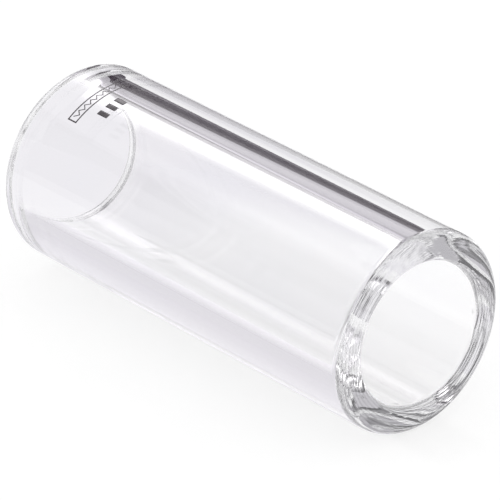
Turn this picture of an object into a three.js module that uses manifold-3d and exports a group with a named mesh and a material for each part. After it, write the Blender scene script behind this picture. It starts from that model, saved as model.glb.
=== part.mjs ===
// A glass guitar slide: a heavy-walled tube of clear glass, worn on a finger, with both ends melted
// smooth and a small print fired onto its outside near one end.
// Millimetres, +Z up. The tube lies on its side along X with its middle over the origin, and it
// rests on z = 0.
import * as THREE from "three";
import { mergeVertices } from "three/addons/utils/BufferGeometryUtils.js";
import Module from "manifold-3d";

const wasm = await Module();
wasm.setup();

// Driving dimensions of the tube.
const OUTER_DIAMETER = 29;
const BORE_DIAMETER = 20.5;
const LENGTH = 70.3;
const OUTER_ROUND = 1.4; // radius of the melted corner between the side and the end
const INNER_ROUND = 0.9; // radius of the melted corner at the mouth of the bore
const SIDES = 32; // a multiple of 4, so that a flat faces down, up and to each side
const OUTER_ROUND_STEPS = 8;
const INNER_ROUND_STEPS = 6;

const WELD = 1e-4; // points of one body that are closer than this are the same point

// Driving dimensions of the print. "Along" is along X, "around" is round the tube.
const PRINT_ANGLE = 17.5; // degrees from the top of the tube towards -Y to the print's middle
const FRAME_FROM_END = 8.6; // from the tube's -X end to the frame's middle
const FRAME_ALONG = 1.8;
const FRAME_AROUND = 9.6;
const LINE_WIDTH = 0.22;
const ZIGZAG_TURNS = 7;
const ZIGZAG_MARGIN = 0.75; // from the frame's short sides to the zigzag
const ZIGZAG_HEIGHT = 0.7;
const BARS_FROM_END = 12.3;
const BAR_COUNT = 3;
const BAR_ALONG = 2;
const BAR_AROUND = 0.8;
const BAR_PITCH = 1.6;
const INK_THICKNESS = 0.1;
const INK_GAP = 0.04; // between the corners of the glass and the ink

const radius = OUTER_DIAMETER / 2;
const boreRadius = BORE_DIAMETER / 2;
const halfLength = LENGTH / 2;
const halfStep = Math.PI / SIDES;
// The flats touch the true circle, so its corners are this much further out.
const cornerScale = 1 / Math.cos(halfStep);

const glass = new THREE.MeshStandardMaterial({
  name: "glass",
  color: 0xeef0f2,
  roughness: 0.02,
  metalness: 0,
  transparent: true,
  opacity: 0.35,
});
const ink = new THREE.MeshStandardMaterial({
  name: "print_ink",
  color: 0x2b2228,
  roughness: 0.3,
  metalness: 0,
});

// Points of a rounded corner in the (radius, along) plane, from one angle to another, in degrees.
function corner(centreRadius, centreAlong, round, fromAngle, toAngle, steps) {
  const points = [];
  for (let i = 0; i <= steps; i++) {
    const angle = THREE.MathUtils.degToRad(fromAngle + ((toAngle - fromAngle) * i) / steps);
    points.push(
      new THREE.Vector2(
        centreRadius + round * Math.cos(angle),
        centreAlong + round * Math.sin(angle),
      ),
    );
  }
  return points;
}

// A closed (radius, along) profile turned about the X axis, with a flat facing straight down.
function turned(profile) {
  const corners = profile.map((p) => new THREE.Vector2(p.x * cornerScale, p.y));
  const geometry = new THREE.LatheGeometry([...corners, corners[0]], SIDES, halfStep);
  return geometry.rotateZ(-Math.PI / 2);
}

function named(name, geometry, material) {
  const mesh = new THREE.Mesh(geometry, material.clone());
  mesh.name = name;
  return mesh;
}

// The tube, from its profile: up the outside, round the +X end, down the bore, round the -X end.
function glassTube() {
  const outer = radius - OUTER_ROUND;
  const inner = boreRadius + INNER_ROUND;
  const outerEnd = halfLength - OUTER_ROUND;
  const innerEnd = halfLength - INNER_ROUND;
  return turned([
    ...corner(outer, -outerEnd, OUTER_ROUND, -90, 0, OUTER_ROUND_STEPS),
    ...corner(outer, outerEnd, OUTER_ROUND, 0, 90, OUTER_ROUND_STEPS),
    ...corner(inner, innerEnd, INNER_ROUND, 90, 180, INNER_ROUND_STEPS),
    ...corner(inner, -innerEnd, INNER_ROUND, 180, 270, INNER_ROUND_STEPS),
  ]);
}

// A geometry as a solid that can be cut, with its seams welded.
function solid(geometry) {
  const positions = new THREE.BufferGeometry();
  positions.setAttribute("position", geometry.getAttribute("position").clone());
  positions.setIndex(geometry.getIndex());
  const merged = mergeVertices(positions, WELD);
  return new wasm.Manifold(
    new wasm.Mesh({
      numProp: 3,
      vertProperties: merged.attributes.position.array,
      triVerts: new Uint32Array(merged.index.array),
    }),
  );
}

function geometryOf(manifold) {
  const { vertProperties, triVerts } = manifold.getMesh();
  const geometry = new THREE.BufferGeometry();
  geometry.setAttribute("position", new THREE.BufferAttribute(vertProperties, 3));
  geometry.setIndex(new THREE.BufferAttribute(triVerts, 1));
  return geometry;
}

// The film of ink before it is cut to an outline: a thin sleeve round the tube, from half the
// frame's width before the frame to half a bar's length after the bars.
function inkSleeve() {
  const inside = radius * cornerScale + INK_GAP;
  const outside = inside + INK_THICKNESS;
  const start = -halfLength + FRAME_FROM_END - FRAME_ALONG;
  const end = -halfLength + BARS_FROM_END + BAR_ALONG;
  return turned([
    new THREE.Vector2(inside, start),
    new THREE.Vector2(outside, start),
    new THREE.Vector2(outside, end),
    new THREE.Vector2(inside, end),
  ]);
}

// Ink in the shape of an outline drawn on the plane (along, around). The outline is raised into a
// column that only the top of the sleeve passes through.
function inked(shape, sleeve) {
  const column = new THREE.ExtrudeGeometry(shape, { depth: radius, bevelEnabled: false });
  column.translate(0, 0, radius / 2);
  return geometryOf(sleeve.intersect(solid(column)));
}

// The corners of a rectangle, from its middle along the tube and its centre round the tube.
function rectangle(along, middle, around, centre = 0) {
  const [x, y] = [along / 2, around / 2];
  return [
    new THREE.Vector2(middle - x, centre - y),
    new THREE.Vector2(middle + x, centre - y),
    new THREE.Vector2(middle + x, centre + y),
    new THREE.Vector2(middle - x, centre + y),
  ];
}

function frameShape() {
  const middle = -halfLength + FRAME_FROM_END;
  const shape = new THREE.Shape(rectangle(FRAME_ALONG, middle, FRAME_AROUND));
  const [along, around] = [FRAME_ALONG - 2 * LINE_WIDTH, FRAME_AROUND - 2 * LINE_WIDTH];
  shape.holes.push(new THREE.Path(rectangle(along, middle, around)));
  return shape;
}

// A zigzag line inside the frame: the same zigzag there and back, LINE_WIDTH apart along the tube.
function zigzagShape() {
  const middle = -halfLength + FRAME_FROM_END;
  const reach = FRAME_AROUND / 2 - ZIGZAG_MARGIN;
  const points = [];
  for (let i = 0; i <= 2 * ZIGZAG_TURNS; i++) {
    const along = i % 2 ? ZIGZAG_HEIGHT / 2 : -ZIGZAG_HEIGHT / 2;
    const around = reach * (i / ZIGZAG_TURNS - 1);
    points.push(new THREE.Vector2(middle + along, around));
  }
  const there = points.map((p) => new THREE.Vector2(p.x + LINE_WIDTH / 2, p.y));
  const back = points.map((p) => new THREE.Vector2(p.x - LINE_WIDTH / 2, p.y)).reverse();
  return new THREE.Shape([...there, ...back]);
}

function barShape(index) {
  const centre = (index - (BAR_COUNT - 1) / 2) * BAR_PITCH;
  return new THREE.Shape(
    rectangle(BAR_ALONG, -halfLength + BARS_FROM_END, BAR_AROUND, centre),
  );
}

// The whole print, drawn over the top of the tube and then turned towards -Y.
function print() {
  const group = new THREE.Group();
  const sleeve = solid(inkSleeve());
  group.add(named("print_frame", inked(frameShape(), sleeve), ink));
  group.add(named("print_zigzag", inked(zigzagShape(), sleeve), ink));
  for (let i = 0; i < BAR_COUNT; i++) {
    group.add(named(`print_bar_${i + 1}`, inked(barShape(i), sleeve), ink));
  }
  group.rotation.x = THREE.MathUtils.degToRad(PRINT_ANGLE);
  return group;
}

const slide = new THREE.Group();
slide.name = "guitar_slide";
slide.add(named("glass_tube", glassTube(), glass), print());
slide.position.z = radius;

export default slide;
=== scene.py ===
import math

import bpy
import numpy as np
from mathutils import Matrix, Vector


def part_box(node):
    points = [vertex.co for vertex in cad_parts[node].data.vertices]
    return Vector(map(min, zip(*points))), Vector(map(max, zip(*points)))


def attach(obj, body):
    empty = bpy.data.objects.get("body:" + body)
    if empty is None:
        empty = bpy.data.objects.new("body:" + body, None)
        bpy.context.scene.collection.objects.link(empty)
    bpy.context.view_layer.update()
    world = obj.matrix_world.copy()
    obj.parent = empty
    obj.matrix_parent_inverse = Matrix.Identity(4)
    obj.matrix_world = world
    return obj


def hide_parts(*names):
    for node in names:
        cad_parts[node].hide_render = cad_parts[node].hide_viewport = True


# A glass guitar slide: a heavy-walled tube of clear glass with melted ends and a small print on its
# outside. It lies along X on a pale table, with its plain end at +X and its printed end at -X.

MM = 0.001

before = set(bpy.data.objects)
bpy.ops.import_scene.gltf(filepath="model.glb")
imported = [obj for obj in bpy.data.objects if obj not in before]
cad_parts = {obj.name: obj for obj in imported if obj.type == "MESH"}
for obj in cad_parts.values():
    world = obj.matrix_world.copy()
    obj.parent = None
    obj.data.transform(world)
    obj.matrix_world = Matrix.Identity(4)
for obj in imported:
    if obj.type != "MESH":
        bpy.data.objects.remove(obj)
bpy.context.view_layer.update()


# ---------------------------------------------------------------- sizes

tube_low, tube_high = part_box("glass_tube")
HALF_LENGTH = (tube_high.x - tube_low.x) / 2
RADIUS = (tube_high.z - tube_low.z) / 2
AXIS_HEIGHT = (tube_high.z + tube_low.z) / 2
BORE_RADIUS = 10.25 * MM  # the CAD bore's, which the tube's box doesn't give

# The melted end is a dome whose top lies nearer to the bore than to the side.
DOME_TOP = 1.6 * MM  # from the bore to the top of the dome
DOME_OUTSIDE = 1.7 * MM  # how far back along the tube the dome runs at the side
DOME_INSIDE = 1.1 * MM  # and in the bore
DOME_POWER = 2.8  # 2 is an ellipse, and more is squarer


# ---------------------------------------------------------------- camera

CAMERA_AZIMUTH = math.radians(48.68)
CAMERA_ELEVATION = math.radians(27.30)
CAMERA_DISTANCE = 0.6475
CAMERA_LENS = 341.06
CAMERA_SENSOR = 36
CAMERA_CLIP = (0.01, 10)
CAMERA_RIGHT = 0.655 * MM  # from the tube's middle to the point that the camera looks at
CAMERA_UP = -0.881 * MM


def make_camera():
    azimuth, elevation = CAMERA_AZIMUTH, CAMERA_ELEVATION
    back = Vector((
        math.sin(azimuth) * math.cos(elevation),
        -math.cos(azimuth) * math.cos(elevation),
        math.sin(elevation),
    ))
    right = Vector((math.cos(azimuth), math.sin(azimuth), 0))
    up = back.cross(right)
    data = bpy.data.cameras.new("camera")
    data.sensor_width = CAMERA_SENSOR
    data.lens = CAMERA_LENS
    data.clip_start, data.clip_end = CAMERA_CLIP
    camera = bpy.data.objects.new("camera", data)
    bpy.context.scene.collection.objects.link(camera)
    target = Vector((0, 0, AXIS_HEIGHT)) + right * CAMERA_RIGHT + up * CAMERA_UP
    turn = Matrix((right, up, back)).transposed().to_4x4()
    camera.matrix_world = Matrix.Translation(target + back * CAMERA_DISTANCE) @ turn
    bpy.context.scene.camera = camera


make_camera()


# ---------------------------------------------------------------- mesh helpers

def new_object(name, vertices, faces, material):
    mesh = bpy.data.meshes.new(name)
    mesh.from_pydata([tuple(v) for v in vertices], [], [tuple(f) for f in faces])
    mesh.polygons.foreach_set("use_smooth", [True] * len(mesh.polygons))
    mesh.materials.append(material)
    mesh.update()
    piece = bpy.data.objects.new(name, mesh)
    bpy.context.scene.collection.objects.link(piece)
    return piece


def flat_object(name, x_ends, y_ends, z, material):
    """A flat rectangle at one height."""
    (x0, x1), (y0, y1) = x_ends, y_ends
    corners = [(x0, y0, z), (x1, y0, z), (x1, y1, z), (x0, y1, z)]
    return new_object(name, corners, [(0, 1, 2, 3)], material)


def grid_faces(rows, columns, close_rows):
    """Quads of a grid of points whose columns close into a ring, and whose rows may close too."""
    row = np.arange(rows if close_rows else rows - 1)[:, None]
    column = np.arange(columns)[None, :]
    after, beside = (row + 1) % rows, (column + 1) % columns
    corners = [
        row * columns + column,
        row * columns + beside,
        after * columns + beside,
        after * columns + column,
    ]
    return np.stack(corners, -1).reshape(-1, 4)


# ---------------------------------------------------------------- node helpers

# A Mix node has sockets of the same name for each kind of data. These are the ones for colours.
MIX_FACTOR, MIX_FIRST, MIX_SECOND, MIX_RESULT = 0, 6, 7, 2


def new_material(name):
    """A material with a Principled BSDF, its node tree, and that shader's inputs."""
    material = bpy.data.materials.new(name)
    material.use_nodes = True
    tree = material.node_tree
    return material, tree, tree.nodes["Principled BSDF"].inputs


def empty_material(name):
    """A material with no nodes yet, and its node tree."""
    material = bpy.data.materials.new(name)
    material.use_nodes = True
    material.node_tree.nodes.clear()
    return material, material.node_tree


def add_node(tree, kind, inputs=None, **settings):
    """A shader node, with its settings, and inputs that are either linked to a socket or set."""
    node = tree.nodes.new("ShaderNode" + kind)
    for name, setting in settings.items():
        setattr(node, name, setting)
    for name, value in (inputs or {}).items():
        if isinstance(value, bpy.types.NodeSocket):
            tree.links.new(value, node.inputs[name])
        else:
            node.inputs[name].default_value = value
    return node


def object_place(tree):
    """Where a point is in its object's coordinates, in metres."""
    return add_node(tree, "TexCoord").outputs["Object"]


def world_place(tree):
    """Where a point is in the scene, in metres."""
    return add_node(tree, "NewGeometry").outputs["Position"]


def split(tree, vector):
    """A vector's X, Y and Z sockets."""
    return add_node(tree, "SeparateXYZ", {"Vector": vector}).outputs


def noise(tree, scale, stretch=(1, 1, 1), detail=2.0):
    """Noise in the object's own coordinates, with its scale in waves per metre."""
    mapping = add_node(tree, "Mapping", {"Vector": object_place(tree), "Scale": stretch})
    inputs = {"Vector": mapping.outputs["Vector"], "Scale": scale, "Detail": detail}
    return add_node(tree, "TexNoise", inputs).outputs["Fac"]


def ramp(tree, value, stops):
    """A colour ramp over a value, from (position, grey or colour) stops."""
    node = add_node(tree, "ValToRGB", {"Fac": value})
    while len(node.color_ramp.elements) < len(stops):
        node.color_ramp.elements.new(1)
    for element, (position, colour) in zip(node.color_ramp.elements, stops):
        element.position = position
        element.color = (*colour, 1) if isinstance(colour, tuple) else (colour, colour, colour, 1)
    return node.outputs["Color"]


def maths(tree, operation, *values):
    node = add_node(tree, "Math", dict(enumerate(values)), operation=operation)
    return node.outputs["Value"]


def product(tree, values):
    total = values[0]
    for value in values[1:]:
        total = maths(tree, "MULTIPLY", total, value)
    return total


def between(tree, value, first, last):
    """A value carried smoothly from (place, share) to (place, share), and held beyond them."""
    ends = zip(("From Min", "To Min", "From Max", "To Max"), (*first, *last))
    inputs = {"Value": value, **dict(ends)}
    return add_node(tree, "MapRange", inputs, interpolation_type="SMOOTHSTEP").outputs["Result"]


def bump(tree, height, distance):
    return add_node(tree, "Bump", {"Height": height, "Distance": distance}).outputs["Normal"]


# ---------------------------------------------------------------- materials

# Colours and roughnesses that vary are stops of a ramp over a noise: (position, value).
GLASS_IOR = 1.474
GLASS_DENSITY = 1.0  # per metre: the longer the way through the glass, the greyer
GLASS_VOLUME_COLOUR = (0.2, 0.22, 0.22)
GLASS_TINTS = [(0.3, (0.98, 0.98, 0.992)), (0.7, (0.99, 0.985, 0.99))]
GLASS_HAZE = [(0.5, 0.0), (0.75, 0.03)]
DRAW_LINE_STRETCH = (0.03, 1, 1)  # the lines run along X
FINE_BUMP = 0.004 * MM

RING_PITCH = 0.47 * MM
# A dark colour painted into the rings on the domes, as shade that darkens the ends.
RING_SHADE_COLOUR = (0.08, 0.075, 0.08)
WAVE_LENGTH = math.pi / 10  # of a wave texture at scale 1

INK_IOR = 1.9
INK_COLOURS = [(0.35, (0.012, 0.008, 0.012)), (0.7, (0.06, 0.045, 0.055))]
INK_ROUGHNESS = [(0.3, 0.12), (0.7, 0.28)]


def end_ring_shade(tree):
    """Where painted shade shows, in the rings left by cutting: nowhere away from the ends."""
    inputs = {"Vector": object_place(tree), "Location": (0, 0, -AXIS_HEIGHT)}
    centred = add_node(tree, "Mapping", inputs).outputs["Vector"]
    inputs = {
        "Vector": centred,
        "Scale": WAVE_LENGTH / RING_PITCH,
        "Distortion": 3,
        "Detail": 1,
        "Detail Scale": 0.4,
    }
    rings = add_node(tree, "TexWave", inputs, wave_type="RINGS", rings_direction="X")
    place = split(tree, centred)
    from_middle = maths(tree, "ABSOLUTE", place["X"])
    dome_start, dome_inside = HALF_LENGTH - DOME_OUTSIDE, HALF_LENGTH - DOME_INSIDE
    # The rings of painted shade are thin lines on the domes only. They are weaker towards -Y,
    # nearly gone at the top and on the printed end, and patchy.
    return product(tree, [
        ramp(tree, rings.outputs["Fac"], [(0.6, 0), (0.88, 1)]),
        between(tree, from_middle, (dome_start, 0), (dome_inside, 1)),
        between(tree, place["Y"], (-BORE_RADIUS, 0.5), (0, 1)),
        between(tree, place["Z"], (BORE_RADIUS, 0.1), (0, 1)),
        between(tree, place["X"], (-BORE_RADIUS, 0.03), (BORE_RADIUS, 1)),
        ramp(tree, noise(tree, scale=200, detail=1), [(0.35, 0.3), (0.6, 1)]),
    ])


def glass_material():
    """Clear borosilicate glass: faint draw lines, handling haze, and rings of painted shade at its
    ends.
    """
    material, tree, shader = new_material("clear_glass")
    shader["IOR"].default_value = GLASS_IOR
    shader["Transmission Weight"].default_value = 1
    mix = {
        MIX_FACTOR: end_ring_shade(tree),
        MIX_FIRST: ramp(tree, noise(tree, scale=60, detail=1), GLASS_TINTS),
        MIX_SECOND: (*RING_SHADE_COLOUR, 1),
    }
    colour = add_node(tree, "Mix", mix, data_type="RGBA").outputs[MIX_RESULT]
    haze = ramp(tree, noise(tree, scale=220, detail=4), GLASS_HAZE)
    lines = noise(tree, scale=500, stretch=DRAW_LINE_STRETCH, detail=1)
    tree.links.new(colour, shader["Base Color"])
    tree.links.new(haze, shader["Roughness"])
    tree.links.new(bump(tree, lines, FINE_BUMP), shader["Normal"])
    inputs = {"Color": (*GLASS_VOLUME_COLOUR, 1), "Density": GLASS_DENSITY}
    absorption = add_node(tree, "VolumeAbsorption", inputs).outputs["Volume"]
    tree.links.new(absorption, tree.nodes["Material Output"].inputs["Volume"])
    return material


def ink_material():
    """Fired ceramic ink: dark, slightly glossy, with a fine grain and thinner spots."""
    material, tree, shader = new_material("fired_ink")
    shader["IOR"].default_value = INK_IOR
    grain = noise(tree, scale=4000, detail=3)
    gloss = ramp(tree, noise(tree, scale=1500, detail=2), INK_ROUGHNESS)
    tree.links.new(ramp(tree, grain, INK_COLOURS), shader["Base Color"])
    tree.links.new(gloss, shader["Roughness"])
    tree.links.new(bump(tree, grain, FINE_BUMP), shader["Normal"])
    return material


# ---------------------------------------------------------------- the glass tube

TURNS = 288
DOME_POINTS = 2000
END_ROWS = 165
WALL_ROWS = 8

# Fine grooves that cutting has left in rings round the bore, softened by the melting. They waver
# round the tube in place and in depth, by a wave for each number of turns. The least and most
# height of a wave are for one turn, and it is that many times lower for more turns.
GROOVE_PITCHES = (0.38 * MM, 0.47 * MM)
GROOVE_DEPTHS = (0.0040 * MM, 0.0025 * MM)
GROOVE_SHARPNESS = 8
GROOVE_TURNS = (1, 2, 3, 5)
GROOVE_PLACE_WAVE = (0.3, 1.6)
GROOVE_DEPTH_WAVE = (0.1, 0.4)
PLAIN_END_SHARE = 1
PRINTED_END_SHARE = 0.05  # this end was melted longer, which has left its grooves shallower

# Faint lines that drawing has left along the outside: waves round the tube, and their height.
DRAW_WAVES = (3, 5, 8, 13, 21)
DRAW_HEIGHT = 0.0008 * MM

WAVE_START = (0, 6)  # least and most angle that a wave starts at, in radians
PLAIN_END_SEED, PRINTED_END_SEED, DRAW_SEED = 1, 2, 3


def dome():
    """(x, radius) from the bore to the side round the +X end, densely and unevenly spaced."""
    t = np.linspace(math.pi, 0, DOME_POINTS)
    across = np.sign(np.cos(t)) * np.abs(np.cos(t)) ** (2 / DOME_POWER)
    rise = np.abs(np.sin(t)) ** (2 / DOME_POWER)
    top = BORE_RADIUS + DOME_TOP
    radius = top + np.where(across < 0, DOME_TOP, RADIUS - top) * across
    depth = np.where(across < 0, DOME_INSIDE, DOME_OUTSIDE)
    return np.c_[HALF_LENGTH - depth * (1 - rise), radius]


def evenly(points, count):
    """The same open line with evenly spaced points, and each point's distance along it."""
    along = np.r_[0, np.cumsum(np.linalg.norm(np.diff(points, axis=0), axis=1))]
    spaced = np.linspace(0, along[-1], count)
    moved = [np.interp(spaced, along, values) for values in points.T]
    return np.stack(moved, -1), spaced


def waver(random, heights, turns, angle):
    """A wave round the tube, with a random height and start."""
    return random.uniform(*heights) / turns * np.sin(turns * angle + random.uniform(*WAVE_START))


def grooves(distance, angle, seed):
    """How deep the end's grooves are at each distance along the dome and angle round the tube."""
    random = np.random.default_rng(seed)
    s, a = distance[:, None], angle[None, :]
    fade = np.sin(math.pi * s / distance[-1]) ** 0.5
    total = 0
    for pitch, depth in zip(GROOVE_PITCHES, GROOVE_DEPTHS):
        phase = random.uniform(0, 2 * math.pi)
        swell = 1
        for turns in GROOVE_TURNS:
            phase = phase + waver(random, GROOVE_PLACE_WAVE, turns, a)
            swell = swell + waver(random, GROOVE_DEPTH_WAVE, turns, a)
        wave = 0.5 + 0.5 * np.cos(2 * math.pi * s / pitch + phase)
        total = total + depth * swell * wave ** GROOVE_SHARPNESS
    return total * fade


def end_grid(angle, seed, share):
    """Points (x, radius) of a grooved +X end: a row for each place on the dome."""
    line, distance = evenly(dome(), END_ROWS)
    slope = np.gradient(line, axis=0)
    outward = np.c_[slope[:, 1], -slope[:, 0]]
    outward /= np.linalg.norm(outward, axis=1)[:, None]
    depth = share * grooves(distance, angle, seed)
    return line[:, None, :] - outward[:, None, :] * depth[:, :, None]


def wall_grid(radius, start, end, angle):
    """Points (x, radius) of a straight wall, in rows that crowd towards its ends."""
    share = (1 - np.cos(np.linspace(0, math.pi, WALL_ROWS + 2)[1:-1])) / 2
    grid = np.empty((WALL_ROWS, len(angle), 2))
    grid[:, :, 0] = (start + (end - start) * share)[:, None]
    grid[:, :, 1] = radius
    return grid


def draw_lines(angle):
    """How far the outside stands out at each angle."""
    random = np.random.default_rng(DRAW_SEED)
    waves = [np.sin(turns * angle + random.uniform(*WAVE_START)) for turns in DRAW_WAVES]
    return DRAW_HEIGHT * np.sum(waves, axis=0)


def make_tube():
    angle = 2 * math.pi * np.arange(TURNS) / TURNS
    inside = HALF_LENGTH - DOME_INSIDE
    outside = HALF_LENGTH - DOME_OUTSIDE
    printed_end = end_grid(angle, PRINTED_END_SEED, PRINTED_END_SHARE)
    grid = np.concatenate([
        wall_grid(BORE_RADIUS, -inside, inside, angle),
        end_grid(angle, PLAIN_END_SEED, PLAIN_END_SHARE),
        wall_grid(RADIUS, outside, -outside, angle),
        printed_end[::-1] * (-1, 1),
    ])
    share = np.clip((grid[:, :, 1] - BORE_RADIUS) / (RADIUS - BORE_RADIUS), 0, 1)
    radius = grid[:, :, 1] + share * draw_lines(angle)
    points = np.stack(
        [grid[:, :, 0], radius * np.sin(angle), radius * np.cos(angle) + AXIS_HEIGHT], -1
    )
    faces = grid_faces(len(grid), TURNS, close_rows=True)
    tube = new_object("glass_body", points.reshape(-1, 3), faces, glass_material())
    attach(tube, "root")
    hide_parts("glass_tube")


make_tube()


# ---------------------------------------------------------------- the print

LINE_WIDTH = 0.22 * MM
ZIGZAG_TURNS = 7
ZIGZAG_WIDTH = LINE_WIDTH * 0.7
INK_BELOW = -0.006 * MM  # the ink has sunk into the glass this far
INK_ABOVE = 0.016 * MM
INK_EDGE_ABOVE = INK_ABOVE * 0.6
INK_SLOPE = 0.2  # the share of its width that it takes to rise from its edge
INK_STEP = 0.1 * MM
INK_RAGGED = 0.008 * MM
FRAME_SEED, ZIGZAG_SEED, FIRST_BAR_SEED = 11, 12, 13


def flat_box(node):
    """A CAD ink node's place unrolled from the tube: lowest and highest (along, around)."""
    low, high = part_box(node)
    # Ink stands out from the glass a little, which its box shows where it crosses the tube's top.
    ink_radius = RADIUS + max(0, high.z - tube_high.z)
    around = [RADIUS * math.asin(y / ink_radius) for y in (low.y, high.y)]
    return np.array([low.x, around[0]]), np.array([high.x, around[1]])


def stepped(path, closed):
    """The same path with a point about every INK_STEP, keeping its corners."""
    points = []
    last = len(path) if closed else len(path) - 1
    for i in range(last):
        start, end = np.array(path[i]), np.array(path[(i + 1) % len(path)])
        count = max(1, round(float(np.linalg.norm(end - start)) / INK_STEP))
        points += [start + (end - start) * k / count for k in range(count)]
    if not closed:
        points.append(np.array(path[-1]))
    return np.array(points)


def sides_of(points, width, closed, random):
    """The left and right edges of a line of ink, mitred at its corners and slightly ragged."""
    ahead = np.roll(points, -1, axis=0) - points
    if not closed:
        ahead[-1] = ahead[-2]
    ahead /= np.linalg.norm(ahead, axis=1)[:, None]
    behind = np.roll(ahead, 1, axis=0)
    if not closed:
        behind[0] = ahead[0]
    across = np.c_[-(ahead + behind)[:, 1], (ahead + behind)[:, 0]]
    across /= np.linalg.norm(across, axis=1)[:, None]
    mitre = np.sum(across * np.c_[-ahead[:, 1], ahead[:, 0]], axis=1)
    half = (width / 2 / mitre)[:, None]
    ragged = random.normal(0, INK_RAGGED, (2, len(points), 1))
    return points + across * (half + ragged[0]), points - across * (half + ragged[1])


def on_tube(flat, height):
    """Flat (along, around) points rolled onto the tube, at a height over the glass."""
    angle = flat[:, 1] / RADIUS
    radius = RADIUS + height
    return np.c_[flat[:, 0], radius * np.sin(angle), radius * np.cos(angle) + AXIS_HEIGHT]


def make_ink(node, path, width, closed, material, seed):
    """A thin closed strip of ink along a flat path, rolled onto the tube."""
    random = np.random.default_rng(seed)
    left, right = sides_of(stepped(path, closed), width, closed, random)
    rings = [
        on_tube(left, INK_BELOW),
        on_tube(left, INK_EDGE_ABOVE),
        on_tube(left * (1 - INK_SLOPE) + right * INK_SLOPE, INK_ABOVE),
        on_tube(left * INK_SLOPE + right * (1 - INK_SLOPE), INK_ABOVE),
        on_tube(right, INK_EDGE_ABOVE),
        on_tube(right, INK_BELOW),
    ]
    vertices = np.stack(rings, 1)
    rows, columns = vertices.shape[:2]
    faces = [tuple(f) for f in grid_faces(rows, columns, close_rows=closed)]
    if not closed:
        faces.append(tuple(range(columns))[::-1])
        faces.append(tuple((rows - 1) * columns + i for i in range(columns)))
    piece = new_object(node.replace("print", "ink"), vertices.reshape(-1, 3), faces, material)
    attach(piece, "root")
    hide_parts(node)


def make_frame(material):
    low, high = flat_box("print_frame")
    x0, s0 = low + LINE_WIDTH / 2
    x1, s1 = high - LINE_WIDTH / 2
    outline = [(x0, s0), (x1, s0), (x1, s1), (x0, s1)]
    make_ink("print_frame", outline, LINE_WIDTH, True, material, FRAME_SEED)


def make_zigzag(material):
    low, high = flat_box("print_zigzag")
    x0, x1 = low[0] + LINE_WIDTH / 2, high[0] - LINE_WIDTH / 2
    around = np.linspace(low[1], high[1], 2 * ZIGZAG_TURNS + 1)
    path = [(x1 if i % 2 else x0, s) for i, s in enumerate(around)]
    make_ink("print_zigzag", path, ZIGZAG_WIDTH, False, material, ZIGZAG_SEED)


def make_bars(material):
    bars = sorted(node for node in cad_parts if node.startswith("print_bar"))
    for seed, node in enumerate(bars, FIRST_BAR_SEED):
        low, high = flat_box(node)
        middle = (low[1] + high[1]) / 2
        path = [(low[0], middle), (high[0], middle)]
        make_ink(node, path, high[1] - low[1], False, material, seed)


def make_print():
    material = ink_material()
    make_frame(material)
    make_zigzag(material)
    make_bars(material)


make_print()


# ---------------------------------------------------------------- stage and light

FLOOR_Z = -0.02 * MM
FLOOR_SIZE = 4.0  # from the middle to each side
FLOOR_GLOW = 0.765
FLOOR_GREYS = [(0.3, 0.28), (0.7, 0.30)]
FLOOR_ROUGHNESS = [(0.3, 0.55), (0.7, 0.7)]
WORLD_GLOW = 0.95

CONTACT_SHADE = 0.05  # painted shadow: how much weaker the floor glows along the line the tube rests on
CONTACT_CORE = RADIUS * 0.2  # how far the full shade reaches on each side of that line
CONTACT_REACH = RADIUS * 0.4  # and how far out it ends

LAVENDER = (0.96, 0.92, 1.0)
PURPLE = (0.9, 0.25, 1.0)
GREY = (0.97, 0.95, 1.0)
NEUTRAL = (1.0, 0.97, 1.0)

LIGHT_BOUNCES = 48

CARD_STEPS = 48

# The flag is a long card just over the slide's +Y side, with a darker lower edge in front of it.
FLAG_ENDS = (0.036, -0.047)  # along X
FLAG_Y = 0.012
FLAG_EDGE_Y = 0.0119
FLAG_EDGE_RISE = 0.0028


def arc(distance, first, last):
    """Places on the floor plan round the middle, between two angles from +X in degrees."""
    angle = np.radians(np.linspace(first, last, CARD_STEPS + 1))
    return distance * np.c_[np.cos(angle), np.sin(angle)]


def straight(ends, y):
    """Places on the floor plan between two ends along X, at one Y."""
    return np.linspace((ends[0], y), (ends[1], y), CARD_STEPS + 1)


# What stands round the slide and only shows in the glass, as (name, places on the floor plan,
# colour, how bright it is at each height, and how much its top edge rises if it does), in metres.
CARDS = [
    ("flag_edge", straight(FLAG_ENDS, FLAG_EDGE_Y), PURPLE,
     [(0.0254, 0.02), (0.0270, 0.02)], FLAG_EDGE_RISE),
    ("flag", straight(FLAG_ENDS, FLAG_Y), LAVENDER,
     [(0.0260, 0.40), (0.0322, 0.42), (0.0334, 0.9)]),
    ("softbox", arc(0.33, 104, 172), NEUTRAL,
     [(0.125, 0.15), (0.158, 0.2), (0.168, 0.6), (0.180, 0.9), (0.200, 1.6),
      (0.218, 2.8), (0.267, 2.6), (0.292, 1.3), (0.320, 0.8)]),
    ("low_card", arc(0.17, 165, 217), GREY,
     [(0.0, 0.5), (0.030, 0.5), (0.050, 0.15), (0.085, 0.12)]),
    ("mid_card", arc(0.33, 165, 203), GREY, [(0.155, 0.12), (0.240, 0.1)]),
    ("side_card", arc(0.16, 217, 260), GREY, [(0.0, 0.5), (0.096, 0.5)]),
    ("front_card", arc(0.16, 260, 470), GREY, [(0.045, 0.3), (0.096, 0.3)]),
    ("dark_card_1", arc(1.0, 193, 208), GREY,
     [(0.75, 0.05), (0.83, 0.1), (0.92, 0.5), (1.02, 0.5), (1.12, 0.05), (1.50, 0.05)]),
    ("dark_card_2", arc(1.0, 208, 227), GREY, [(0.80, 0.06), (1.30, 0.05)]),
    ("dark_card_3", arc(1.02, 203, 229), GREY, [(0.46, 0.3), (0.81, 0.25)]),
]

SHEET_HEIGHT = 0.05 * MM

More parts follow.
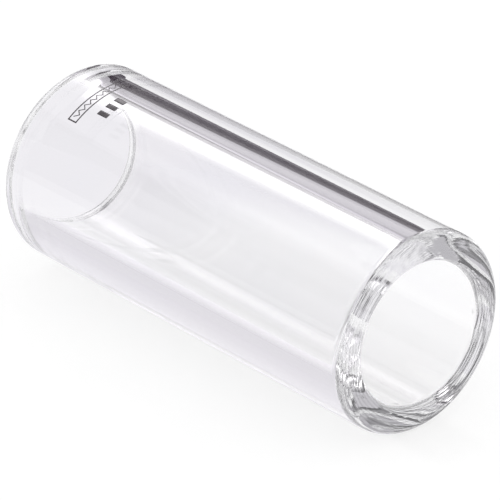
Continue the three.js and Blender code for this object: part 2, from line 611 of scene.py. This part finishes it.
# What lies flat and only shows in the glass, as (name, ends along X, height, colour, and how bright
# it is at each place along Y), in metres.
SHEETS = [
    # The front sheet is painted shade: the table top just in front of the tube, darker as it shows
    # in the glass.
    ("front_shade_sheet", (-0.08, 0.04), SHEET_HEIGHT, GREY,
     [(-0.019, 0.95), (-0.0155, 0.76), (-0.011, 0.76), (-0.007, 0.88), (-0.004, 0.97)]),
    ("overhead_sheet", (-0.54, -0.38), 0.5, GREY, [(-0.3, 0.6), (0.27, 0.6), (0.33, 0.9)]),
]

# The sheet of painted shade seen through the printed end, and how far from its edges it fades in.
END_SHEET_X = (-0.16, -0.015)
END_SHEET_Y = (-0.010, 0.095)
END_SHEET_HEIGHT = 1.4 * SHEET_HEIGHT
END_SHADE_COLOUR = (0.905, 0.895, 0.925)
END_SHEET_FADE = 0.035  # from the edges nearest to +X and +Y
END_SHEET_FRONT_FADE = 0.010  # from the edge nearest to -Y


def hide_outside_glass(card):
    """The card then shows only through the glass and in its reflections."""
    card.visible_camera = card.visible_diffuse = card.visible_shadow = False


def glow_material(name, colour, fade, axis):
    """A glow that changes along an axis, from (place, strength) stops."""
    material, tree = empty_material(name)
    low, high = fade[0][0], fade[-1][0]
    inputs = {"Value": split(tree, world_place(tree))[axis], "From Min": low, "From Max": high}
    share = add_node(tree, "MapRange", inputs).outputs["Result"]
    stops = [((at - low) / (high - low), tuple(light * c for c in colour)) for at, light in fade]
    glow = add_node(tree, "Emission", {"Color": ramp(tree, share, stops)}).outputs["Emission"]
    add_node(tree, "OutputMaterial", {"Surface": glow})
    return material


def end_sheet_material():
    """Painted shade: a light grey glow, darker than the table top, that fades out on three sides.
    """
    material, tree = empty_material("end_sheet")
    place = split(tree, world_place(tree))
    front, back = END_SHEET_Y
    near = END_SHEET_X[1]
    share = product(tree, [
        between(tree, place["Y"], (front, 0), (front + END_SHEET_FRONT_FADE, 1)),
        between(tree, place["Y"], (back, 0), (back - END_SHEET_FADE, 1)),
        between(tree, place["X"], (near, 0), (near - END_SHEET_FADE, 1)),
    ])
    clear = add_node(tree, "BsdfTransparent").outputs["BSDF"]
    glow = add_node(tree, "Emission", {"Color": (*END_SHADE_COLOUR, 1)}).outputs["Emission"]
    mix = add_node(tree, "MixShader", {0: share, 1: clear, 2: glow}).outputs["Shader"]
    add_node(tree, "OutputMaterial", {"Surface": mix})
    return material


def make_card(name, places, colour, fade, rise=0.0):
    """An upright card, whose top edge may rise from its first place to its last."""
    above = len(places)
    bottom, top = fade[0][0], fade[-1][0] + rise * np.linspace(0, 1, above)
    vertices = [(x, y, bottom) for x, y in places] + [(x, y, z) for (x, y), z in zip(places, top)]
    faces = [(i, i + 1, i + 1 + above, i + above) for i in range(above - 1)]
    material = glow_material(name, colour, fade, "Z")
    hide_outside_glass(new_object(name, vertices, faces, material))


def make_sheet(name, x_ends, height, colour, fade):
    """A sheet that lies flat."""
    material = glow_material(name, colour, fade, "Y")
    y_ends = fade[0][0], fade[-1][0]
    hide_outside_glass(flat_object(name, x_ends, y_ends, height, material))


def make_end_sheet():
    """Painted shade on the table top, as it shows through the printed end."""
    material = end_sheet_material()
    sheet = flat_object("end_sheet", END_SHEET_X, END_SHEET_Y, END_SHEET_HEIGHT, material)
    hide_outside_glass(sheet)


def contact_shade(tree):
    """The table top's glow, with a painted shadow a little weaker along the line that the tube
    rests on.
    """
    place = split(tree, object_place(tree))
    along = maths(tree, "ABSOLUTE", place["X"])
    beside = maths(tree, "ABSOLUTE", place["Y"])
    under = product(tree, [
        between(tree, along, (HALF_LENGTH, 1), (HALF_LENGTH + RADIUS, 0)),
        between(tree, beside, (CONTACT_CORE, 1), (CONTACT_REACH, 0)),
    ])
    return ramp(tree, under, [(0, 1.0), (1, 1 - CONTACT_SHADE)])


def make_floor():
    """A pale table top that glows itself, so that shadows on it stay faint."""
    material, tree, shader = new_material("floor_white")
    shader["Specular IOR Level"].default_value = 0
    shader["Emission Strength"].default_value = FLOOR_GLOW
    mottle = noise(tree, scale=30, detail=3)
    tree.links.new(ramp(tree, mottle, FLOOR_GREYS), shader["Base Color"])
    tree.links.new(ramp(tree, mottle, FLOOR_ROUGHNESS), shader["Roughness"])
    tree.links.new(contact_shade(tree), shader["Emission Color"])
    ends = (-FLOOR_SIZE, FLOOR_SIZE)
    flat_object("floor", ends, ends, FLOOR_Z, material)


def make_world():
    world = bpy.data.worlds.new("studio")
    bpy.context.scene.world = world
    world.use_nodes = True
    background = world.node_tree.nodes["Background"].inputs
    background["Color"].default_value = (1, 1, 1, 1)
    background["Strength"].default_value = WORLD_GLOW


def set_bounces():
    """Light that enters an end of the tube is reflected many times inside its wall."""
    cycles = bpy.context.scene.cycles
    cycles.max_bounces = cycles.glossy_bounces = cycles.transmission_bounces = LIGHT_BOUNCES


make_floor()
for card in CARDS:
    make_card(*card)
for sheet in SHEETS:
    make_sheet(*sheet)
make_end_sheet()
make_world()
set_bounces()
bpy.context.scene.view_settings.view_transform = "Standard"
